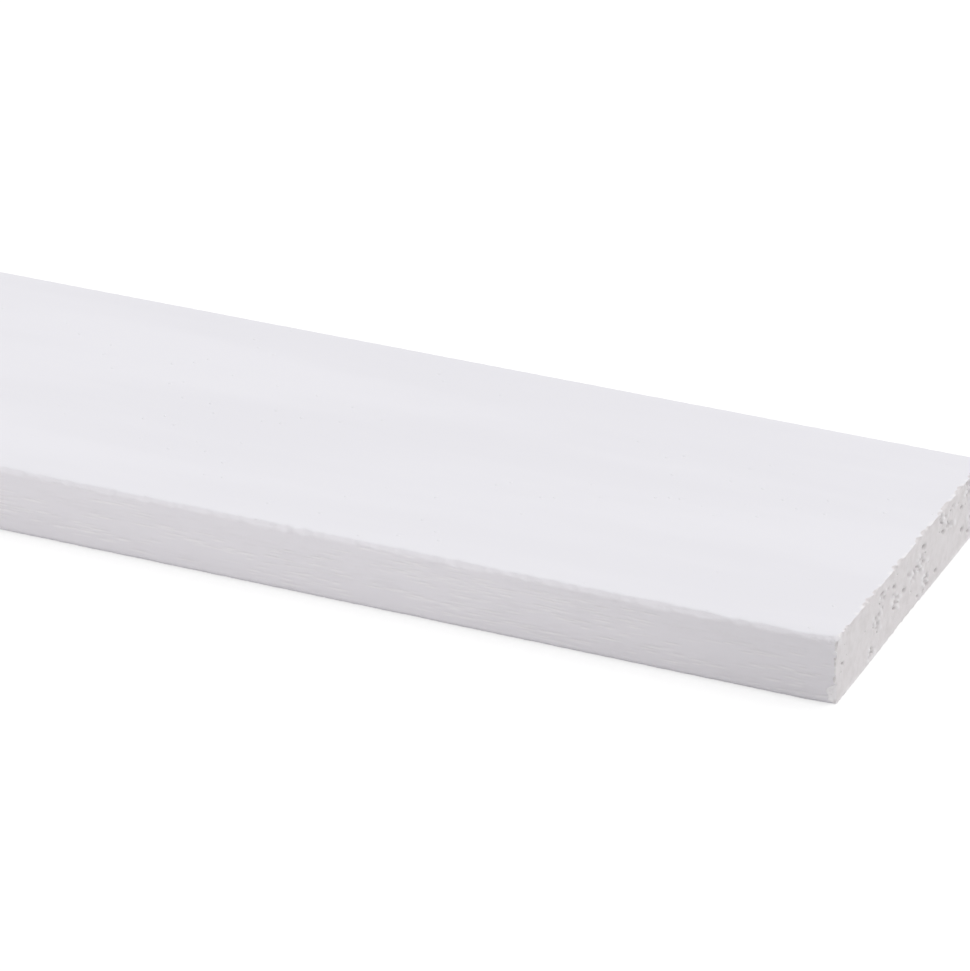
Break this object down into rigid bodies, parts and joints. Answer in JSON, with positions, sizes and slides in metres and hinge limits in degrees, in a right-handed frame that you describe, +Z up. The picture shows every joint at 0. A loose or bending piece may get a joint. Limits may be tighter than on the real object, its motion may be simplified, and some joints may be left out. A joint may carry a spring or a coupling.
{
  "type": "primed hardwood board",
  "caption": "Long flat hardwood board, rectangular in section with eased long edges and square-sawn ends, white primed all round, used as trim, fascia or shelving stock.",
  "frame": {"origin": "middle of the underside, in the plane that the board rests on", "axes": "+X along the length towards the end that the picture shows, +Y across the width towards the edge that the picture hides, +Z up through the thickness"},
  "size_m": [2.4, 0.095, 0.016],
  "materials": {
    "white_primer": "matt white primer over hardwood, with fine open grain showing through on the edges and pores on the sawn ends"
  },
  "bodies": {
    "root": {"board": "white_primer"}
  },
  "joints": []
}
